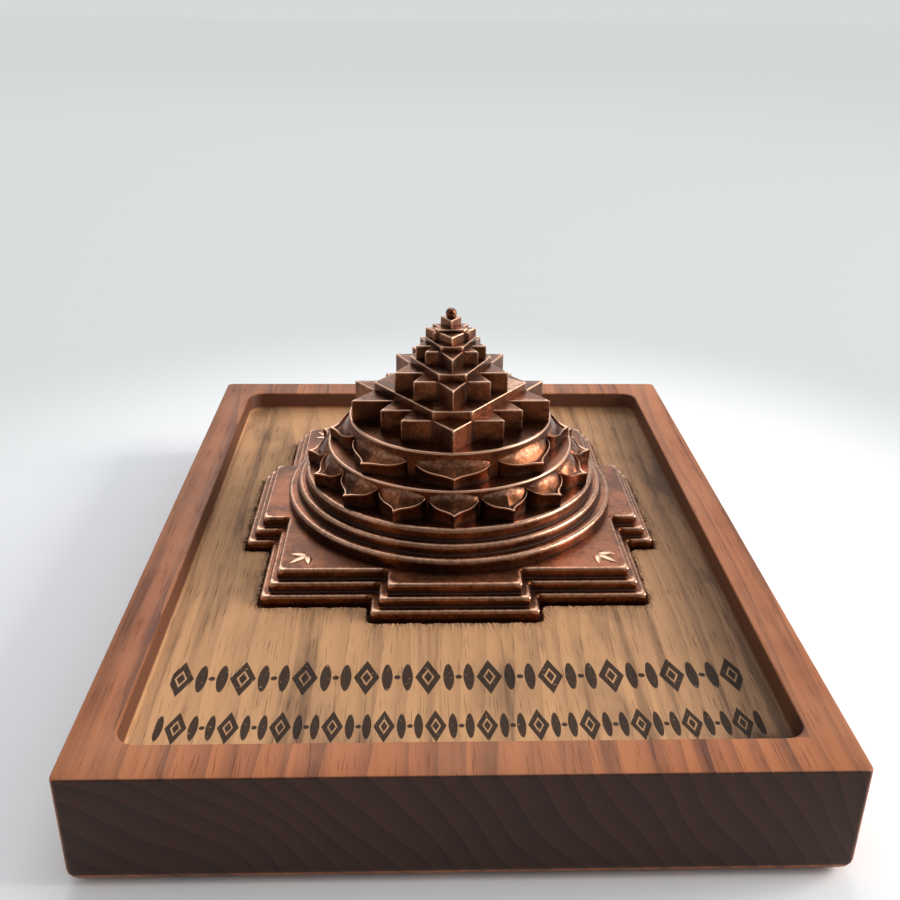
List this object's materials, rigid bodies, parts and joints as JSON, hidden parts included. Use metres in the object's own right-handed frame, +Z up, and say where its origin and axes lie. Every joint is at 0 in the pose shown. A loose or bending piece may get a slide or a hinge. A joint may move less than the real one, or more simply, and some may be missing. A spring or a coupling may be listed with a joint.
{
  "type": "shri yantra",
  "caption": "Raised copper shri yantra of stacked lotus and triangle tiers, resting in the routed pocket of a shallow wooden tray.",
  "frame": {"origin": "middle of the tray's underside", "axes": "+Z up, +Y to the back along the tray's length, +X to the right"},
  "size_m": [0.15, 0.198, 0.0795],
  "materials": {
    "wood": "oiled reddish brown hardwood, with a paler weathered recess floor",
    "copper": "dark antique patina on cast copper, satin, with bright worn edges"
  },
  "bodies": {
    "tray": {"wooden_tray": "wood"},
    "yantra": {"bhupura_base": "copper", "mekhala_rings": "copper", "sixteen_petal_tier": "copper", "eight_petal_tier": "copper", "fourteen_triangle_tier": "copper", "outer_ten_tier": "copper", "inner_ten_tier": "copper", "eight_triangle_tier": "copper", "central_triangle": "copper", "bindu": "copper"}
  },
  "joints": [
    {"name": "yantra_lift", "type": "slide", "parent": "tray", "child": "yantra", "axis": [0, 0, 1], "range_m": [0, 0.04]}
  ]
}
